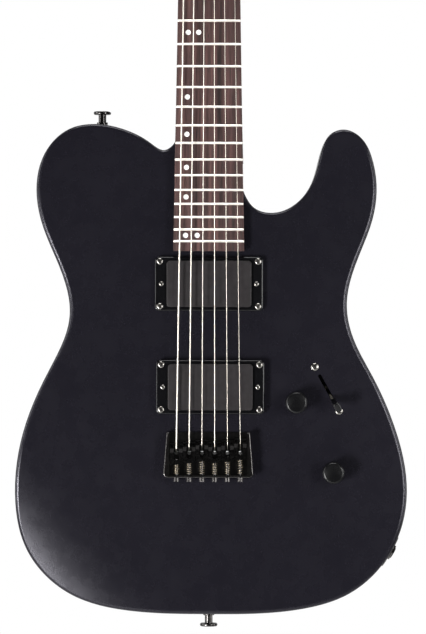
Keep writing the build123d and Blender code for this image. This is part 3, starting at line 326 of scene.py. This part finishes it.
MATERIALS = {
    "satin_black_wood": satin_lacquer(
        "satin_black", (0.0040, 0.0037, 0.0058), (0.0050, 0.0046, 0.0070), 0.27),
    "neck_wood": satin_lacquer(
        "neck_satin_black", (0.005, 0.0047, 0.006), (0.007, 0.0066, 0.008), 0.44),
    "rosewood": rosewood("rosewood"),
    "pearl": pearl("pearl"),
    "fret_wire": metal(
        "fret_wire", (0.95, 0.92, 0.86), 0.40, (60, 2200, 2200), 0.03, (0.90, 0.86, 0.79)),
    "nut_black": moulded("nut_black", (0.02, 0.02, 0.02), (0.03, 0.03, 0.03), 0.4, 900, 0.05),
    "steel": metal("plain_steel", (0.60, 0.56, 0.47), 0.32, (300, 300, 1600), 0.05),
    "black_plastic": moulded(
        "gloss_black", (0.0015, 0.0015, 0.0018), (0.0025, 0.0025, 0.003), 0.16, 500, 0.02),
    "pickup_plastic": moulded(
        "pickup_grain", (0.0095, 0.0084, 0.0088), (0.0150, 0.0131, 0.0138), 0.46, 1500, 0.30, 0.18),
    "black_nickel": metal(
        "black_nickel", (0.075, 0.071, 0.070), 0.20, (700, 700, 700), 0.04, (0.045, 0.043, 0.042)),
    "string_steel": wound_string("wound_string"),
    "spring_steel": metal("spring_steel", (0.26, 0.22, 0.16), 0.3, (900, 900, 900), 0.05),
    "knob_black": moulded(
        "knob_black", (0.0016, 0.0016, 0.0019), (0.0024, 0.0024, 0.0027), 0.28, 700, 0.04, 0.22),
    "pot_metal": metal("pot_metal", (0.62, 0.62, 0.60), 0.35, (500, 500, 500), 0.06),
    "battery_case": moulded(
        "battery_wrap", (0.02, 0.024, 0.03), (0.03, 0.034, 0.04), 0.3, 300, 0.04),
}
SCREW_PLATE = metal(
    "screw_plate", (0.30, 0.285, 0.265), 0.24, (700, 700, 700), 0.04, (0.17, 0.162, 0.15))
SADDLE_PLATE = metal(
    "saddle_plate", (0.022, 0.021, 0.021), 0.26, (700, 700, 700), 0.04, (0.014, 0.0135, 0.013))
SADDLES = ["saddle_%d" % number for number in range(1, 7)]
for entry in frame["record"]["subparts"]:
    node = NODES[entry["node"]]
    for index in range(len(node.material_slots)):
        node.material_slots[index].material = MATERIALS[entry["material_slot"]]
for name in SADDLES:
    for index in range(len(NODES[name].material_slots)):
        if NODES[name].material_slots[index].material == MATERIALS["black_nickel"]:
            NODES[name].material_slots[index].material = SADDLE_PLATE

# Edges broken as on the real mouldings and castings, which is what catches the light
PICKUP_PARTS = ["neck_pickup", "bridge_pickup", "neck_pickup_ring", "bridge_pickup_ring"]
for name in SADDLES + PICKUP_PARTS + ["bridge_plate"]:
    edge = NODES[name].modifiers.new("broken_edge", "BEVEL")
    edge.width = EDGE_BREAK
    edge.segments = 2
    edge.limit_method = "ANGLE"
    edge.angle_limit = SHARP_EDGE
    edge.use_clamp_overlap = True

# ------------------------------------------------------------------ pieces


def make_piece(name, shape, slot, material, *nodes, body="guitar"):
    """Turns a bmesh into a smooth-shaded piece that stands for CAD nodes."""
    bmesh.ops.recalc_face_normals(shape, faces=shape.faces)
    mesh = bpy.data.meshes.new(name)
    shape.to_mesh(mesh)
    shape.free()
    for polygon in mesh.polygons:
        polygon.use_smooth = True
    piece = bpy.data.objects.new(name, mesh)
    bpy.context.scene.collection.objects.link(piece)
    mesh.materials.append(material)
    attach(piece, body)
    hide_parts(*nodes)
    return piece


def loft_rings(shape, rings):
    """Skins a run of closed rings and closes both ends."""
    rows = [[shape.verts.new(point) for point in ring] for ring in rings]
    count = len(rows[0])
    for first, second in zip(rows, rows[1:]):
        for k in range(count):
            shape.faces.new((first[k], first[(k + 1) % count], second[(k + 1) % count], second[k]))
    shape.faces.new(rows[0])
    shape.faces.new(reversed(rows[-1]))


# frets, with a half-round crown that is dressed down at both ends
shape = bmesh.new()
for number in range(1, FRET_COUNT + 1):
    z = fret_z(number)
    half = board_half(z)
    inner = half - END_DRESSING[-1][0]
    stations = [(-half + inset, rise) for inset, rise in END_DRESSING]
    stations += [(inner * (2 * k / FRET_SPANS - 1), 1.0) for k in range(1, FRET_SPANS)]
    stations += [(half - inset, rise) for inset, rise in reversed(END_DRESSING)]
    rings = []
    for x, rise in stations:
        seat = -BOARD_TOP + crown_drop(x)
        ring = [(x, seat + FRET_SEAT, z - FRET_WIDTH / 2)]
        for k in range(CROWN_POINTS):
            turn = math.pi * k / (CROWN_POINTS - 1)
            height = FRET_HEIGHT * rise * math.sin(turn)
            ring.append((x, seat - height, z - FRET_WIDTH / 2 * math.cos(turn)))
        ring.append((x, seat + FRET_SEAT, z + FRET_WIDTH / 2))
        rings.append(ring)
    loft_rings(shape, rings)
make_piece("fret_crowns", shape, "fret_wire", MATERIALS["fret_wire"], "frets")


def driver_screws(name, places, size, nodes):
    """Domed screws facing the front, each with a crossed recess. Places are the undersides of the heads."""
    radius, rise, shank_radius, shank_length = size
    profile = (
        (shank_radius, -shank_length), (shank_radius, 0), (radius, 0), (radius, rise * 0.3),
        (radius * 0.9, rise * 0.62), (radius * 0.66, rise * 0.86),
        (radius * 0.36, rise * 0.97), (radius * 0.05, rise),
    )
    shape = bmesh.new()
    cutter = bmesh.new()
    arm, width, depth = radius * 0.55, radius * 0.13, rise * 0.75
    cross = [(arm, width), (width, width), (width, arm), (-width, arm), (-width, width), (-arm, width)]
    cross += [(-x, -z) for x, z in cross]
    for place in places:
        rings = []
        for reach, height in profile:
            turns = [2 * math.pi * k / ROUND for k in range(ROUND)]
            rings.append([
                (place.x + reach * math.cos(t), place.y - height, place.z + reach * math.sin(t))
                for t in turns
            ])
        loft_rings(shape, rings)
        loft_rings(cutter, [
            [(place.x + x, place.y - height, place.z + z) for x, z in cross]
            for height in (rise - depth, rise * 2)
        ])
    bmesh.ops.recalc_face_normals(cutter, faces=cutter.faces)
    cutter_mesh = bpy.data.meshes.new(name + "_recess")
    cutter.to_mesh(cutter_mesh)
    cutter.free()
    tool = bpy.data.objects.new(name + "_recess", cutter_mesh)
    bpy.context.scene.collection.objects.link(tool)
    piece = make_piece(name, shape, "black_nickel", SCREW_PLATE, *nodes)
    cut = piece.modifiers.new("recess", "BOOLEAN")
    cut.operation = "DIFFERENCE"
    cut.solver = "EXACT"
    cut.object = tool
    bpy.context.view_layer.update()
    shown = piece.evaluated_get(bpy.context.evaluated_depsgraph_get())
    finished = bpy.data.meshes.new_from_object(shown)
    piece.modifiers.clear()
    piece.data = finished
    bpy.data.objects.remove(tool)
    finished.set_sharp_from_angle(angle=SHARP_EDGE)


ring_places = []
height_places = []
for side in ("neck", "bridge"):
    low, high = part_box(side + "_pickup_ring")
    middle = (low + high) / 2
    for across in (-0.5, 0.5):
        height_places.append(Vector((middle.x + across * HEIGHT_SCREW_SPACING, low.y, middle.z)))
        for along in (-0.5, 0.5):
            spot = (across * RING_SCREW_SPACING[0], along * RING_SCREW_SPACING[1])
            ring_places.append(Vector((middle.x + spot[0], low.y, middle.z + spot[1])))
driver_screws("ring_screws", ring_places, RING_SCREW, ["pickup_ring_screws"])
driver_screws("height_screws", height_places, HEIGHT_SCREW, ["pickup_height_screws"])
low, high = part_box("selector_screws")
middle = (low + high) / 2
selector_places = []
for side in (-0.5, 0.5):
    step = SELECTOR_DIR.normalized() * SELECTOR_SCREW_SPACING * side
    selector_places.append(Vector((middle.x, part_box("body")[0].y, middle.z)) + step)
driver_screws("switch_screws", selector_places, SWITCH_SCREW, ["selector_screws"])


def rounded(points, reach):
    """The points of a path with each corner drawn out to a short curve."""
    path = [points[0]]
    for before, corner, after in zip(points, points[1:], points[2:]):
        size = min(reach, (corner - before).length * 0.45, (after - corner).length * 0.45)
        start = corner + (before - corner).normalized() * size
        end = corner + (after - corner).normalized() * size
        for k in range(5):
            share = k / 4
            path.append(start * (1 - share) ** 2 + corner * 2 * share * (1 - share) + end * share ** 2)
    return path + [points[-1]]


def string_path(index):
    """Centreline of a string, from its ball end to the last turn round its post."""
    radius = STRING_RADII[index]
    x = (index - 2.5) * BRIDGE_SPACING
    nut_x = NUT_SPREAD * (index / 5 - 0.5)
    nut_y = -(BOARD_TOP - crown_drop(nut_x) + NUT_ACTION + radius)
    crest = CREST_HEIGHT - crown_drop(x) + STRING_GAP + radius
    post = (FIRST_POST[0] + index * POST_STEP[0], FIRST_POST[1] + index * POST_STEP[1])
    wrap = POST_RADIUS + STRING_GAP + radius
    corners = [
        Vector((x, -STRING_START, STRING_HOLE_Z)),
        Vector((x, -BRIDGE_BASE, STRING_HOLE_Z)),
        Vector((x, -crest, SADDLE_FRONTS[index] - CREST_OFFSET)),
        Vector((nut_x, nut_y, SCALE_LENGTH)),
        Vector((nut_x, nut_y, SCALE_LENGTH + NUT_THICKNESS)),
    ]
    if index >= WOUND_COUNT + 1:
        tree_x = nut_x * 0.4 + (post[0] + wrap) * 0.6
        corners.append(Vector((tree_x, radius + TREE_GAP - TREE_HEIGHT, TREE_Z)))
    corners.append(Vector((post[0] + wrap, -WRAP_HEIGHT, post[1])))
    path = rounded(corners, STRING_BEND)
    steps = WRAP_POINTS * WRAP_TURNS
    for k in range(1, steps + 1):
        turn = 2 * math.pi * k / WRAP_POINTS
        sink = 2.15 * radius * k / WRAP_POINTS
        x = post[0] + wrap * math.cos(turn)
        z = post[1] + wrap * math.sin(turn)
        path.append(Vector((x, sink - WRAP_HEIGHT, z)))
    return path


def string_set(name, indexes, material):
    """One curve object with a round section for each string of a kind."""
    curve = bpy.data.curves.new(name, "CURVE")
    curve.dimensions = "3D"
    curve.bevel_depth = STRING_RADII[0]
    curve.bevel_resolution = 3
    curve.use_fill_caps = True
    for index in indexes:
        path = string_path(index)
        spline = curve.splines.new("POLY")
        spline.points.add(len(path) - 1)
        for point, place in zip(spline.points, path):
            point.co = (*place, 1)
            point.radius = STRING_RADII[index] / STRING_RADII[0]
    piece = bpy.data.objects.new(name, curve)
    bpy.context.scene.collection.objects.link(piece)
    curve.materials.append(material)
    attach(piece, "guitar")
    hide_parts("strings")


string_set("wound_strings", range(WOUND_COUNT), MATERIALS["string_steel"])
string_set("plain_strings", range(WOUND_COUNT, 6), plain_string("plain_string"))

# ------------------------------------------------------------------ studio


def area(name, place, aim, size, power):
    """A rectangular lamp that faces a point."""
    lamp = bpy.data.lights.new(name, "AREA")
    lamp.shape = "RECTANGLE"
    lamp.size, lamp.size_y = size
    lamp.energy = power
    thing = bpy.data.objects.new(name, lamp)
    bpy.context.scene.collection.objects.link(thing)
    thing.location = place
    thing.rotation_euler = (Vector(aim) - Vector(place)).to_track_quat("-Z", "Y").to_euler()


world = bpy.data.worlds.new("studio")
bpy.context.scene.world = world
world.use_nodes = True
tree = world.node_tree
out = tree.nodes["World Output"]
soft = tree.nodes["Background"]
soft.inputs["Color"].default_value = (1, 1, 1, 1)
direction = tree.nodes.new("ShaderNodeTexCoord")
split = tree.nodes.new("ShaderNodeSeparateXYZ")
tree.links.new(direction.outputs["Generated"], split.inputs[0])
level = tree.nodes.new("ShaderNodeMapRange")
level.interpolation_type = "SMOOTHSTEP"
level.inputs["From Min"].default_value = -0.25
level.inputs["From Max"].default_value = 0.5
level.inputs["To Min"].default_value = 0.06
level.inputs["To Max"].default_value = 0.58
tree.links.new(split.outputs["Y"], level.inputs["Value"])
tree.links.new(level.outputs["Result"], soft.inputs["Strength"])
white = tree.nodes.new("ShaderNodeBackground")
white.inputs["Color"].default_value = (1, 1, 1, 1)
white.inputs["Strength"].default_value = 1.0
rays = tree.nodes.new("ShaderNodeLightPath")
switch = tree.nodes.new("ShaderNodeMixShader")
tree.links.new(rays.outputs["Is Camera Ray"], switch.inputs["Fac"])
tree.links.new(soft.outputs[0], switch.inputs[1])
tree.links.new(white.outputs[0], switch.inputs[2])
tree.links.new(switch.outputs[0], out.inputs["Surface"])

for lamp_facts in LAMPS:
    area(*lamp_facts)

floor_mesh = bpy.data.meshes.new("floor")
shape = bmesh.new()
bmesh.ops.create_grid(shape, x_segments=24, y_segments=24, size=FLOOR_HALF)
shape.to_mesh(floor_mesh)
shape.free()
floor = bpy.data.objects.new("floor", floor_mesh)
bpy.context.scene.collection.objects.link(floor)
floor.location = (0, 0, CAD_BOX[0][2] - FLOOR_DROP)
paint = Paint("floor_paper")
tone = paint.ramp(paint.noise(3, 4), (0.3, (0.80, 0.80, 0.80)), (0.7, (0.84, 0.84, 0.84)))
fibres = paint.bump(paint.noise(300), 0.05, 0.0005)
floor_mesh.materials.append(paint.finish(tone, paint.spread(paint.noise(40), 0.8, 0.95), fibres))

camera = bpy.data.cameras.new("camera")
view = bpy.data.objects.new("camera", camera)
bpy.context.scene.collection.objects.link(view)
bpy.context.scene.camera = view
camera.sensor_fit = "VERTICAL"
camera.sensor_height = SENSOR_HEIGHT
camera.lens = SENSOR_HEIGHT * DISTANCE / FRAME_HEIGHT
camera.clip_start = 0.05
camera.clip_end = 60
view.location = (CAMERA_X, AIM_Y - DISTANCE, CAMERA_Z)
view.rotation_euler = (math.pi / 2, CAMERA_ROLL, 0)
bpy.context.scene.view_settings.view_transform = "Standard"
bpy.context.scene.view_settings.look = "None"

low, high = CAD_BOX
